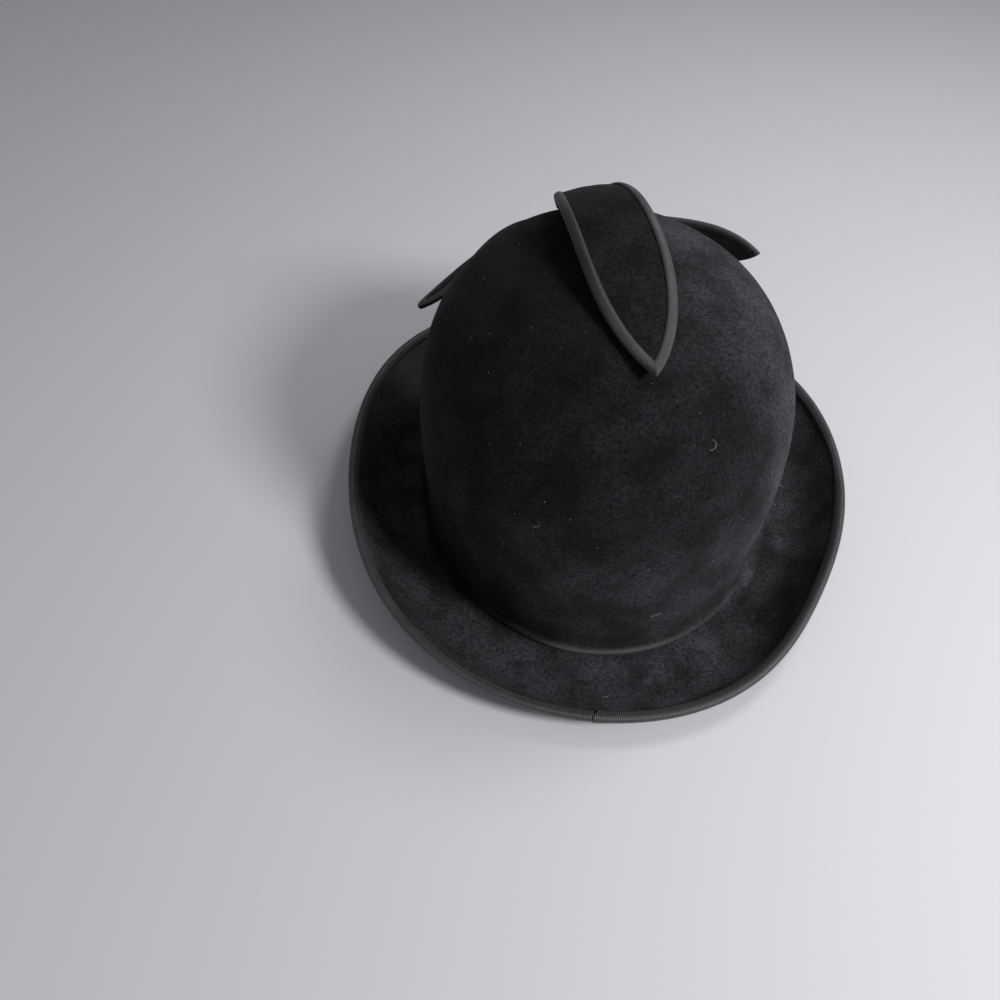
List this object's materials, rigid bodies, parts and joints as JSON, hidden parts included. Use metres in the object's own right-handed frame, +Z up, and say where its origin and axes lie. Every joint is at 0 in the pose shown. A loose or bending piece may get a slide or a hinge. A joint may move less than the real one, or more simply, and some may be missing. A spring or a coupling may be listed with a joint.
{
  "type": "felt hat",
  "caption": "Black velour felt hat: tall round crown, rolled brim bound with ribbed ribbon, and leaf-shaped felt petals with the same edging over the crown.",
  "frame": {"origin": "on the surface that the brim rests on, in the middle of the brim's outline", "axes": "+Z up, +Y towards the hat's front, where the petals meet, +X towards the wearer's right"},
  "size_m": [0.2512, 0.2718, 0.1513],
  "materials": {
    "felt": "soft black velour felt with a short, cloudy nap",
    "ribbon": "matt dark grey ribbon with fine cross ribs"
  },
  "bodies": {
    "root": {"crown_and_brim": "felt", "brim_binding": "ribbon", "petal_back": "felt", "petal_back_binding": "ribbon", "petal_left": "felt", "petal_left_binding": "ribbon", "petal_right": "felt", "petal_right_binding": "ribbon"}
  },
  "joints": []
}
